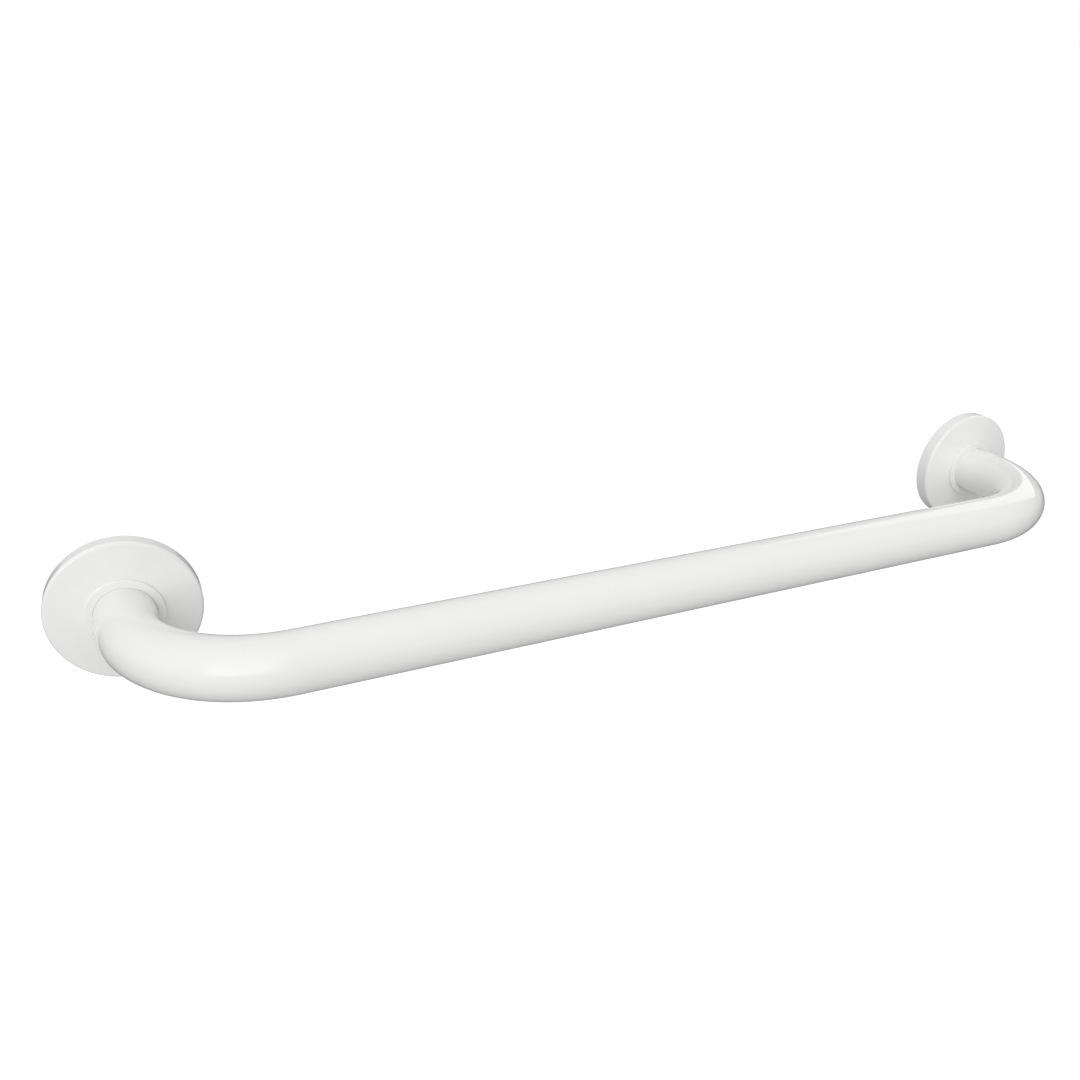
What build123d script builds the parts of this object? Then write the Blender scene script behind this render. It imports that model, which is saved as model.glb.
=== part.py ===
from build123d import *
import os

# Grab bar: a bent steel tube with a welded flange and a moulded cover at each end.
# Millimetres. X runs along the bar, Y points into the wall, Z is up.
# The origin lies on the wall, midway between the two flanges.

# Tube
fixing_centres = 600.0
tube_diameter = 32.0
tube_wall = 2.0
bend_radius = 74.0
tube_end_setback = 0.5

# Flanges
flange_thickness = 4.0
flange_edge_radius = 0.8
screw_count = 3
screw_hole_diameter = 6.5
screw_to_flange_edge = 9.5
weld_leg = 3.0

# Covers: the shoulder is measured from the wall, and the rest rises from it
cover_diameter = 80.0
cover_wall = 2.2
shoulder_height = 9.8
shoulder_radius = 2.0
face_rise = 3.5
collar_step = 1.7
collar_wall = 4.2
collar_edge_radius = 0.8
lip_height = 1.0
lip_edge_radius = 0.2
sleeve_wall = 2.2
rib_count = 6
rib_width = 2.4
rib_height = 1.15
cover_travel = 10.0

# Clearances
tube_to_flange = 0.1
tube_to_cover = 0.3
tube_to_lip = 0.05
rib_to_flange = 0.15
weld_to_sleeve = 1.0
cover_to_wall = 0.3

# Radii from the axis of a leg
tube_radius = tube_diameter / 2
flange_bore_radius = tube_radius + tube_to_flange
weld_radius = flange_bore_radius + weld_leg
cover_bore_radius = tube_radius + tube_to_cover
lip_radius = tube_radius + tube_to_lip
sleeve_radius = cover_bore_radius + sleeve_wall
collar_radius = cover_bore_radius + collar_wall
cover_radius = cover_diameter / 2
rim_inner_radius = cover_radius - cover_wall
rib_inner_radius = rim_inner_radius - rib_height
flange_radius = rib_inner_radius - rib_to_flange
screw_circle_radius = flange_radius - screw_to_flange_edge

# Heights from the wall
weld_top = flange_thickness + weld_leg
sleeve_foot = weld_top + weld_to_sleeve
collar_foot = shoulder_height + face_rise
collar_top = collar_foot + collar_step
lip_foot = collar_top - lip_height
leg_length = collar_top + cover_travel
reach = leg_length + bend_radius

half_span = fixing_centres / 2
face_slope = face_rise / (cover_radius - collar_radius)


def underside(radius):
    """Height of the underside of the cover's conical face, at a radius from the leg's axis."""
    return shoulder_height + face_slope * (cover_radius - radius) - cover_wall


# Tube: one ring section swept along two legs, two bends and the grip
with BuildPart() as grab_tube:
    with BuildLine() as tube_path:
        FilletPolyline(
            (-half_span, -tube_end_setback, 0),
            (-half_span, -reach, 0),
            (half_span, -reach, 0),
            (half_span, -tube_end_setback, 0),
            radius=bend_radius,
        )
    with BuildSketch(Plane(origin=tube_path.line @ 0, z_dir=tube_path.line % 0)):
        Circle(tube_radius)
        Circle(tube_radius - tube_wall, mode=Mode.SUBTRACT)
    sweep()

pieces = {"grab_tube": grab_tube.part}

# Flanges and covers: the right end mirrors the left
for side, outward in (("left", -1), ("right", 1)):
    leg_foot = (outward * half_span, 0, 0)
    leg_axis = Axis(leg_foot, (0, -1, 0))
    wall_plane = Plane(leg_foot, x_dir=(outward, 0, 0), z_dir=(0, -1, 0))
    section_plane = Plane(leg_foot, x_dir=(1, 0, 0), z_dir=(0, 0, -1))

    # Flange: a plate round the tube's end, with the weld bead that joins them
    with BuildPart() as flange:
        with BuildSketch(section_plane) as plate_section:
            with BuildLine():
                Polyline(
                    (flange_bore_radius, 0),
                    (flange_radius, 0),
                    (flange_radius, flange_thickness),
                    (flange_bore_radius, flange_thickness),
                    close=True,
                )
            make_face()
            front_edge = (flange_radius, flange_thickness)
            fillet(plate_section.vertices().sort_by_distance(front_edge)[0], flange_edge_radius)
        revolve(axis=leg_axis)
        with BuildSketch(section_plane):
            with BuildLine():
                Polyline(
                    (tube_radius, flange_thickness),
                    (weld_radius, flange_thickness),
                    (tube_radius, weld_top),
                    close=True,
                )
            make_face()
        revolve(axis=leg_axis)
        with BuildSketch(wall_plane):
            with PolarLocations(screw_circle_radius, screw_count):
                Circle(screw_hole_diameter / 2)
        extrude(amount=flange_thickness, mode=Mode.SUBTRACT)

    # Cover: a thin moulded shell. A collar and a sleeve guide it on the tube, and a lip closes the gap
    with BuildPart() as cover:
        with BuildSketch(section_plane) as shell_section:
            shoulder = (cover_radius, shoulder_height)
            collar_edge = (collar_radius, collar_top)
            lip_edge = (lip_radius, collar_top)
            with BuildLine():
                Polyline(
                    (cover_radius, cover_to_wall),
                    shoulder,
                    (collar_radius, collar_foot),
                    collar_edge,
                    lip_edge,
                    (lip_radius, lip_foot),
                    (cover_bore_radius, lip_foot),
                    (cover_bore_radius, sleeve_foot),
                    (sleeve_radius, sleeve_foot),
                    (sleeve_radius, underside(sleeve_radius)),
                    (rim_inner_radius, underside(rim_inner_radius)),
                    (rim_inner_radius, cover_to_wall),
                    close=True,
                )
            make_face()
            for corner, radius in (
                (shoulder, shoulder_radius),
                (collar_edge, collar_edge_radius),
                (lip_edge, lip_edge_radius),
            ):
                fillet(shell_section.vertices().sort_by_distance(corner)[0], radius)
        revolve(axis=leg_axis)
        # Grip ribs: they run down the inside of the rim and hold the edge of the flange
        rib_root_radius = rim_inner_radius + cover_wall / 2
        rib_root_height = underside(rim_inner_radius) + cover_wall / 2
        with BuildSketch(wall_plane.offset(cover_to_wall)):
            with PolarLocations((rib_inner_radius + rib_root_radius) / 2, rib_count):
                Rectangle(rib_root_radius - rib_inner_radius, rib_width)
        extrude(amount=rib_root_height - cover_to_wall)

    pieces[f"{side}_flange"] = flange.part
    pieces[f"{side}_cover"] = cover.part

os.makedirs("parts", exist_ok=True)
for name, piece in pieces.items():
    piece.label = name
    export_step(piece, f"parts/{name}.step")
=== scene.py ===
"""Looks of the grab bar: a white coated tube and flanges, and glossy moulded covers, in a white studio."""

import math

import bpy
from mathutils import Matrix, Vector


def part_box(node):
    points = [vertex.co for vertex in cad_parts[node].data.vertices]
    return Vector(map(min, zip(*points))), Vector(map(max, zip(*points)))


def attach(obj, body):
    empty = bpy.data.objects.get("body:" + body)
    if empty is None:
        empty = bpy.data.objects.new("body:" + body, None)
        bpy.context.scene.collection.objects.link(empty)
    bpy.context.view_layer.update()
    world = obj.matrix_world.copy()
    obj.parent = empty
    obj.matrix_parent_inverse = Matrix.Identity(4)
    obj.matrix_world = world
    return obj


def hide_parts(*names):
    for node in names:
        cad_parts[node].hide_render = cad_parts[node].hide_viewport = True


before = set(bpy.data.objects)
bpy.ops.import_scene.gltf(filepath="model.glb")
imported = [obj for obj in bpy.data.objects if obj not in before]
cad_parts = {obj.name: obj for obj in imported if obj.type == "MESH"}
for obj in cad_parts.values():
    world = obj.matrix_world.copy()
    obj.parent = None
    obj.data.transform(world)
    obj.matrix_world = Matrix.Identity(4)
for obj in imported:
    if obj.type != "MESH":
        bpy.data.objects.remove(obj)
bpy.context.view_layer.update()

# Lengths are in metres, angles in degrees, and a radiance of 1 is white.

# Tube: its bends and wall, and how finely its mesh is drawn
BEND_RADIUS = 0.074
TUBE_WALL = 0.002
RIM_ROUNDING = 0.0003
RIM_STEPS = 4
POINTS_ROUND = 128
BEND_STEPS = 64
LEG_STEPS = 4
GRIP_STEPS = 24
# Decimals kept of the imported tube's box, because its facets fall a little short of the true form
BOX_DECIMALS = 4

# Finishes: one white, in faint clouds that also vary the polish, both as shares of the full value
WHITE = (0.88, 0.88, 0.87)
REFRACTIVE_INDEX = 1.5
CLOUDS_PER_METRE = 30.0
CLOUD_DETAIL = 3.0
CLOUD_LOW = 0.3
CLOUD_HIGH = 0.7
CLOUD_SHADE = 0.992
POLISH_LOW = 0.8
POLISH_HIGH = 1.2
WAVE_DETAIL = 1.0
GRAIN_DETAIL = 2.0
# How rough each finish is, and the height and size of its waves and of its grain
COATING = dict(roughness=0.03, waviness=0.000004, wave_size=0.006, grain=0.0000004, grain_size=0.0008)
PLASTIC = dict(roughness=0.08, waviness=0.000008, wave_size=0.006, grain=0.000003, grain_size=0.0006)

# Camera at the photograph's place
CAMERA_PLACE = (-0.27431, -0.507053, 0.23367)
CAMERA_AZIMUTH = -23.516
CAMERA_ELEVATION = 23.303
CAMERA_LENS_MM = 31.243
CAMERA_SENSOR_MM = 36.0

# Soft light from all round, stronger from one side
AMBIENT_AZIMUTH = -20.0
AMBIENT_ELEVATION = 20.0
AMBIENT_FAR = 0.09
AMBIENT_NEAR = 0.65

# Floor: how much light it throws back on to the bar, its own white glow, and how much its shadows show
FLOOR_HEIGHT = -0.6
FLOOR_SIZE = 60.0
FLOOR_BOUNCE = 0.58
FLOOR_GLOW = 0.985
FLOOR_SHADE = 0.15

# Glowing backdrop that only the gloss shows, a painted reflection of a dim room: dark just over the floor,
# and grey round and over the bar
GLOSS_BACKDROP_DISTANCE = 12.0
GLOSS_BACKDROP_LIFT = 0.01
GLOSS_BACKDROP_FOOT = FLOOR_HEIGHT + GLOSS_BACKDROP_LIFT
GLOSS_BACKDROP_TOP = 19.0
GLOSS_BACKDROP_SIDES = 64
GLOSS_BACKDROP_FLOOR_GLOW = 0.08
GLOSS_BACKDROP_FOOT_GLOW = 0.4
GLOSS_BACKDROP_TOP_GLOW = 0.62

# Softboxes: name, azimuth, elevation, width, height, radiance that lights, radiance that the gloss shows
# at the hot spot, and the share of it that is left far from that spot
SOFTBOX_DISTANCE = 10.0
SOFTBOXES = (
    ("front_softbox", -31.0, 36.0, 42.5, 60.8, 1.68, 2.2, 0.43),
    ("side_softbox", 112.5, 29.0, 30.0, 32.0, 1.4, 1.45, 1.0),
    ("back_softbox", 180.0, 36.0, 75.0, 68.0, 0.5, 0.0, 1.0),
)
# Place of the hot spot from a softbox's middle, and the circle over which it fades, in softbox heights
HOT_SPOT = (-0.13, -0.45)
HOT_RADIUS = 0.9
# Watts for each square metre of a lamp that has a radiance of 1
LAMP_WATTS = 4.0

PURE_WHITE = (1, 1, 1, 1)


def direction(azimuth, elevation):
    """Unit vector from the object towards a place in the room. Azimuth 0 is the room side, -Y."""
    a = math.radians(azimuth)
    e = math.radians(elevation)
    return Vector((math.sin(a) * math.cos(e), -math.cos(a) * math.cos(e), math.sin(e)))


def new_object(name, vertices, faces):
    """A mesh object with smooth faces."""
    mesh = bpy.data.meshes.new(name)
    mesh.from_pydata(vertices, [], faces)
    mesh.polygons.foreach_set("use_smooth", [True] * len(mesh.polygons))
    mesh.update()
    obj = bpy.data.objects.new(name, mesh)
    bpy.context.scene.collection.objects.link(obj)
    return obj


def cleared_nodes(owner):
    """The empty node tree of a material or a world."""
    owner.use_nodes = True
    owner.node_tree.nodes.clear()
    return owner.node_tree.nodes, owner.node_tree.links


# Tube


def straight(start, end, steps):
    """Points along a straight stretch of the tube's axis, up to its end, each with the way along it."""
    way = end - start
    return [(start + way * step / steps, way.normalized()) for step in range(steps)]


def bend(middle, first_turn):
    """Points round a quarter bend of the tube's axis, up to its end, each with the way along it."""
    stations = []
    for step in range(BEND_STEPS):
        turn = math.radians(first_turn + 90 * step / BEND_STEPS)
        outward = Vector((math.cos(turn), math.sin(turn), 0))
        along = Vector((-math.sin(turn), math.cos(turn), 0))
        stations.append((middle + BEND_RADIUS * outward, along))
    return stations


def tube_stations(radius):
    """Points along the tube's axis from the left end to the right, each with the way along it."""
    low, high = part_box("grab_tube")
    half_span = round(high.x, BOX_DECIMALS) - radius
    reach = round(low.y, BOX_DECIMALS) + radius
    foot = high.y
    bend_x = half_span - BEND_RADIUS
    bend_y = reach + BEND_RADIUS
    right_foot = Vector((half_span, foot, 0))
    stations = straight(Vector((-half_span, foot, 0)), Vector((-half_span, bend_y, 0)), LEG_STEPS)
    stations += bend(Vector((-bend_x, bend_y, 0)), 180)
    stations += straight(Vector((-bend_x, reach, 0)), Vector((bend_x, reach, 0)), GRIP_STEPS)
    stations += bend(Vector((bend_x, bend_y, 0)), 270)
    stations += straight(Vector((half_span, bend_y, 0)), right_foot, LEG_STEPS)
    stations.append((right_foot, Vector((0, 1, 0))))
    return stations


def rim_profile(radius, bore):
    """Radii over an end of the tube, from outside to inside, each with its distance back from the end."""
    outer_edge = []
    for step in range(RIM_STEPS + 1):
        turn = math.radians(90) * step / RIM_STEPS
        ring_radius = radius - RIM_ROUNDING * (1 - math.cos(turn))
        outer_edge.append((ring_radius, RIM_ROUNDING * (1 - math.sin(turn))))
    inner_edge = [(radius + bore - ring_radius, back) for ring_radius, back in reversed(outer_edge)]
    return outer_edge + inner_edge


def tube_rings(radius):
    """Rings of the tube's closed skin: outside, right rim, inside and left rim."""
    bore = radius - TUBE_WALL
    stations = tube_stations(radius)
    middle = stations[1:-1]
    left_end, left_along = stations[0]
    right_end, right_along = stations[-1]
    rim = rim_profile(radius, bore)
    rings = [(place, along, radius) for place, along in middle]
    rings += [(right_end - back * right_along, right_along, rim_radius) for rim_radius, back in rim]
    rings += [(place, along, bore) for place, along in reversed(middle)]
    rings += [(left_end + back * left_along, left_along, rim_radius) for rim_radius, back in reversed(rim)]
    return rings


def build_tube():
    """The bent tube as one fine closed skin, in place of the coarser CAD mesh of the same form."""
    radius = round(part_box("grab_tube")[1].z, BOX_DECIMALS)
    rings = tube_rings(radius)
    up = Vector((0, 0, 1))
    vertices = []
    for place, along, ring_radius in rings:
        side = along.cross(up)
        for point in range(POINTS_ROUND):
            turn = math.tau * point / POINTS_ROUND
            vertices.append(place + ring_radius * (math.cos(turn) * side + math.sin(turn) * up))
    faces = []
    for ring in range(len(rings)):
        here = ring * POINTS_ROUND
        there = (ring + 1) % len(rings) * POINTS_ROUND
        for point in range(POINTS_ROUND):
            beside = (point + 1) % POINTS_ROUND
            faces.append((here + point, there + point, there + beside, here + beside))
    tube = new_object("coated_tube", vertices, faces)
    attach(tube, "bar")
    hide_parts("grab_tube")
    return tube


# Finishes


def gloss_white(name, roughness, waviness, wave_size, grain, grain_size):
    """A glossy white finish. Waviness and grain are heights, each with the size of its bumps."""
    material = bpy.data.materials.new(name)
    nodes, links = cleared_nodes(material)
    output = nodes.new("ShaderNodeOutputMaterial")
    surface = nodes.new("ShaderNodeBsdfPrincipled")
    surface.inputs["IOR"].default_value = REFRACTIVE_INDEX
    place = nodes.new("ShaderNodeTexCoord")

    clouds = nodes.new("ShaderNodeTexNoise")
    clouds.inputs["Scale"].default_value = CLOUDS_PER_METRE
    clouds.inputs["Detail"].default_value = CLOUD_DETAIL
    tint = nodes.new("ShaderNodeValToRGB")
    tint.color_ramp.elements[0].position = CLOUD_LOW
    tint.color_ramp.elements[0].color = (*[CLOUD_SHADE * c for c in WHITE], 1)
    tint.color_ramp.elements[1].position = CLOUD_HIGH
    tint.color_ramp.elements[1].color = (*WHITE, 1)
    polish = nodes.new("ShaderNodeMapRange")
    polish.inputs["From Min"].default_value = CLOUD_LOW
    polish.inputs["From Max"].default_value = CLOUD_HIGH
    polish.inputs["To Min"].default_value = POLISH_LOW * roughness
    polish.inputs["To Max"].default_value = POLISH_HIGH * roughness

    waves = nodes.new("ShaderNodeTexNoise")
    waves.inputs["Scale"].default_value = 1 / wave_size
    waves.inputs["Detail"].default_value = WAVE_DETAIL
    wave_bump = nodes.new("ShaderNodeBump")
    wave_bump.inputs["Distance"].default_value = waviness
    specks = nodes.new("ShaderNodeTexNoise")
    specks.inputs["Scale"].default_value = 1 / grain_size
    specks.inputs["Detail"].default_value = GRAIN_DETAIL
    speck_bump = nodes.new("ShaderNodeBump")
    speck_bump.inputs["Distance"].default_value = grain

    for texture in (clouds, waves, specks):
        links.new(place.outputs["Object"], texture.inputs["Vector"])
    links.new(clouds.outputs["Fac"], tint.inputs["Fac"])
    links.new(clouds.outputs["Fac"], polish.inputs["Value"])
    links.new(waves.outputs["Fac"], wave_bump.inputs["Height"])
    links.new(specks.outputs["Fac"], speck_bump.inputs["Height"])
    links.new(wave_bump.outputs["Normal"], speck_bump.inputs["Normal"])
    links.new(tint.outputs["Color"], surface.inputs["Base Color"])
    links.new(polish.outputs["Result"], surface.inputs["Roughness"])
    links.new(speck_bump.outputs["Normal"], surface.inputs["Normal"])
    links.new(surface.outputs["BSDF"], output.inputs["Surface"])
    return material


# Studio


def seen_directly(nodes, links):
    """A socket that is 1 for camera, mirror and see-through rays, which show the white background."""
    rays = nodes.new("ShaderNodeLightPath")
    total = rays.outputs["Is Camera Ray"]
    for kind in ("Is Glossy Ray", "Is Transmission Ray"):
        add = nodes.new("ShaderNodeMath")
        add.operation = "ADD"
        add.use_clamp = True
        links.new(total, add.inputs[0])
        links.new(rays.outputs[kind], add.inputs[1])
        total = add.outputs["Value"]
    return total


def light_world():
    """White to look at, with a soft light for the object that is stronger from one side."""
    world = bpy.data.worlds.new("studio")
    bpy.context.scene.world = world
    nodes, links = cleared_nodes(world)
    output = nodes.new("ShaderNodeOutputWorld")
    place = nodes.new("ShaderNodeTexCoord")
    slope = nodes.new("ShaderNodeVectorMath")
    slope.operation = "DOT_PRODUCT"
    slope.inputs[1].default_value = direction(AMBIENT_AZIMUTH, AMBIENT_ELEVATION)
    strength = nodes.new("ShaderNodeMapRange")
    strength.inputs["From Min"].default_value = -1.0
    strength.inputs["To Min"].default_value = AMBIENT_FAR
    strength.inputs["To Max"].default_value = AMBIENT_NEAR
    ambient = nodes.new("ShaderNodeBackground")
    ambient.inputs["Color"].default_value = PURE_WHITE
    white = nodes.new("ShaderNodeBackground")
    white.inputs["Color"].default_value = PURE_WHITE
    white.inputs["Strength"].default_value = 1.0
    choice = nodes.new("ShaderNodeMixShader")
    links.new(place.outputs["Generated"], slope.inputs[0])
    links.new(slope.outputs["Value"], strength.inputs["Value"])
    links.new(strength.outputs["Result"], ambient.inputs["Strength"])
    links.new(seen_directly(nodes, links), choice.inputs["Fac"])
    links.new(ambient.outputs["Background"], choice.inputs[1])
    links.new(white.outputs["Background"], choice.inputs[2])
    links.new(choice.outputs["Shader"], output.inputs["Surface"])


def lay_floor():
    """A pale floor that looks white where nothing shades it."""
    half = FLOOR_SIZE / 2
    corners = [(-half, -half), (half, -half), (half, half), (-half, half)]
    floor = new_object("floor", [(x, y, FLOOR_HEIGHT) for x, y in corners], [(0, 1, 2, 3)])
    material = bpy.data.materials.new("pale_floor")
    nodes, links = cleared_nodes(material)
    output = nodes.new("ShaderNodeOutputMaterial")
    bounce = nodes.new("ShaderNodeBsdfDiffuse")
    bounce.inputs["Color"].default_value = (FLOOR_BOUNCE, FLOOR_BOUNCE, FLOOR_BOUNCE, 1)
    shade = nodes.new("ShaderNodeBsdfDiffuse")
    shade.inputs["Color"].default_value = (FLOOR_SHADE, FLOOR_SHADE, FLOOR_SHADE, 1)
    glow = nodes.new("ShaderNodeEmission")
    glow.inputs["Color"].default_value = PURE_WHITE
    glow.inputs["Strength"].default_value = FLOOR_GLOW
    both = nodes.new("ShaderNodeAddShader")
    choice = nodes.new("ShaderNodeMixShader")
    links.new(shade.outputs["BSDF"], both.inputs[0])
    links.new(glow.outputs["Emission"], both.inputs[1])
    links.new(seen_directly(nodes, links), choice.inputs["Fac"])
    links.new(bounce.outputs["BSDF"], choice.inputs[1])
    links.new(both.outputs["Shader"], choice.inputs[2])
    links.new(choice.outputs["Shader"], output.inputs["Surface"])
    floor.data.materials.append(material)
    material.cycles.emission_sampling = "NONE"


def show_in_gloss_only(backdrop):
    """Hides a glowing backdrop from all rays but reflections. It isn't sampled as a light."""
    backdrop.visible_camera = False
    backdrop.visible_diffuse = False
    backdrop.visible_transmission = False
    backdrop.visible_volume_scatter = False
    backdrop.visible_shadow = False
    for slot in backdrop.material_slots:
        slot.material.cycles.emission_sampling = "NONE"


def hang_gloss_backdrop(name, heights, low_glow, high_glow):
    """Glowing backdrop that only the gloss shows, a painted reflection: a disc at a single height, or a
    drum with a lid at its top.
    """
    vertices = []
    for height in heights:
        for side in range(GLOSS_BACKDROP_SIDES):
            turn = math.tau * side / GLOSS_BACKDROP_SIDES
            vertices.append((GLOSS_BACKDROP_DISTANCE * math.cos(turn), GLOSS_BACKDROP_DISTANCE * math.sin(turn), height))
    last_ring = len(vertices) - GLOSS_BACKDROP_SIDES
    faces = [tuple(range(last_ring, len(vertices)))]
    for lower in range(0, last_ring, GLOSS_BACKDROP_SIDES):
        upper = lower + GLOSS_BACKDROP_SIDES
        for side in range(GLOSS_BACKDROP_SIDES):
            beside = (side + 1) % GLOSS_BACKDROP_SIDES
            faces.append((lower + side, lower + beside, upper + beside, upper + side))
    gloss_backdrop = new_object(name, vertices, faces)
    material = bpy.data.materials.new(name)
    nodes, links = cleared_nodes(material)
    output = nodes.new("ShaderNodeOutputMaterial")
    place = nodes.new("ShaderNodeTexCoord")
    split = nodes.new("ShaderNodeSeparateXYZ")
    # Painted reflection: a glow, not a colour of its own, that rises from its low value at the bar's
    # height to its high value at the top
    shade = nodes.new("ShaderNodeMapRange")
    shade.inputs["From Max"].default_value = GLOSS_BACKDROP_TOP
    shade.inputs["To Min"].default_value = low_glow
    shade.inputs["To Max"].default_value = high_glow
    backdrop_glow = nodes.new("ShaderNodeEmission")
    backdrop_glow.inputs["Color"].default_value = PURE_WHITE
    links.new(place.outputs["Object"], split.inputs["Vector"])
    links.new(split.outputs["Z"], shade.inputs["Value"])
    links.new(shade.outputs["Result"], backdrop_glow.inputs["Strength"])
    links.new(backdrop_glow.outputs["Emission"], output.inputs["Surface"])
    gloss_backdrop.data.materials.append(material)
    show_in_gloss_only(gloss_backdrop)


def aim(obj, azimuth, elevation):
    """Hangs a light or a panel at its place in the room, facing the object."""
    towards = direction(azimuth, elevation)
    obj.location = SOFTBOX_DISTANCE * towards
    obj.rotation_mode = "QUATERNION"
    obj.rotation_quaternion = (-towards).to_track_quat("-Z", "Y")


def span(angle):
    """Length that fills an angle at the softboxes' distance."""
    return 2 * SOFTBOX_DISTANCE * math.tan(math.radians(angle) / 2)


def hang_light(name, azimuth, elevation, width, height, radiance):
    """The light of a softbox, which the gloss doesn't show."""
    lamp = bpy.data.lights.new(name, "AREA")
    lamp.shape = "RECTANGLE"
    lamp.size = span(width)
    lamp.size_y = span(height)
    lamp.energy = LAMP_WATTS * lamp.size * lamp.size_y * radiance
    light = bpy.data.objects.new(name, lamp)
    aim(light, azimuth, elevation)
    light.visible_camera = False
    light.visible_glossy = False
    bpy.context.scene.collection.objects.link(light)


def hang_panel(name, azimuth, elevation, width, height, radiance, fade):
    """The face of a softbox as the gloss shows it. It fades away from its hot spot."""
    tall = span(height)
    x = span(width) / 2
    y = tall / 2
    panel = new_object(name, [(-x, -y, 0), (x, -y, 0), (x, y, 0), (-x, y, 0)], [(0, 1, 2, 3)])
    aim(panel, azimuth, elevation)
    material = bpy.data.materials.new(name)
    nodes, links = cleared_nodes(material)
    output = nodes.new("ShaderNodeOutputMaterial")
    glow = nodes.new("ShaderNodeEmission")
    glow.inputs["Color"].default_value = PURE_WHITE
    place = nodes.new("ShaderNodeTexCoord")
    spot = nodes.new("ShaderNodeMapping")
    spot.vector_type = "TEXTURE"
    spot.inputs["Location"].default_value = (HOT_SPOT[0] * tall, HOT_SPOT[1] * tall, 0)
    spot.inputs["Scale"].default_value = [HOT_RADIUS * tall] * 3
    circle = nodes.new("ShaderNodeTexGradient")
    circle.gradient_type = "SPHERICAL"
    strength = nodes.new("ShaderNodeMapRange")
    strength.inputs["To Min"].default_value = fade * radiance
    strength.inputs["To Max"].default_value = radiance
    links.new(place.outputs["Object"], spot.inputs["Vector"])
    links.new(spot.outputs["Vector"], circle.inputs["Vector"])
    links.new(circle.outputs["Fac"], strength.inputs["Value"])
    links.new(strength.outputs["Result"], glow.inputs["Strength"])
    links.new(glow.outputs["Emission"], output.inputs["Surface"])
    panel.data.materials.append(material)
    show_in_gloss_only(panel)


def place_camera():
    """The photograph's own view."""
    camera = bpy.data.objects.new("camera", bpy.data.cameras.new("camera"))
    camera.data.lens = CAMERA_LENS_MM
    camera.data.sensor_width = CAMERA_SENSOR_MM
    camera.location = CAMERA_PLACE
    camera.rotation_mode = "QUATERNION"
    camera.rotation_quaternion = (-direction(CAMERA_AZIMUTH, CAMERA_ELEVATION)).to_track_quat("-Z", "Y")
    bpy.context.scene.collection.objects.link(camera)
    bpy.context.scene.camera = camera


tube = build_tube()
coating = gloss_white("white_coating_finish", **COATING)
plastic = gloss_white("white_cover_finish", **PLASTIC)
tube.data.materials.append(coating)
for side in ("left", "right"):
    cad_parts[f"{side}_flange"].material_slots[0].material = coating
    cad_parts[f"{side}_cover"].material_slots[0].material = plastic

light_world()
lay_floor()
# Glowing backdrops that paint dark and grey reflections on the bar
hang_gloss_backdrop("floor_gloss_backdrop", [GLOSS_BACKDROP_FOOT], GLOSS_BACKDROP_FLOOR_GLOW, GLOSS_BACKDROP_FLOOR_GLOW)
hang_gloss_backdrop("wall_gloss_backdrop", [GLOSS_BACKDROP_FOOT, GLOSS_BACKDROP_TOP], GLOSS_BACKDROP_FOOT_GLOW, GLOSS_BACKDROP_TOP_GLOW)
for name, azimuth, elevation, width, height, light, gloss, fade in SOFTBOXES:
    hang_light(f"{name}_light", azimuth, elevation, width, height, light)
    if gloss:
        hang_panel(f"{name}_panel", azimuth, elevation, width, height, gloss, fade)
place_camera()
bpy.context.scene.view_settings.view_transform = "Standard"
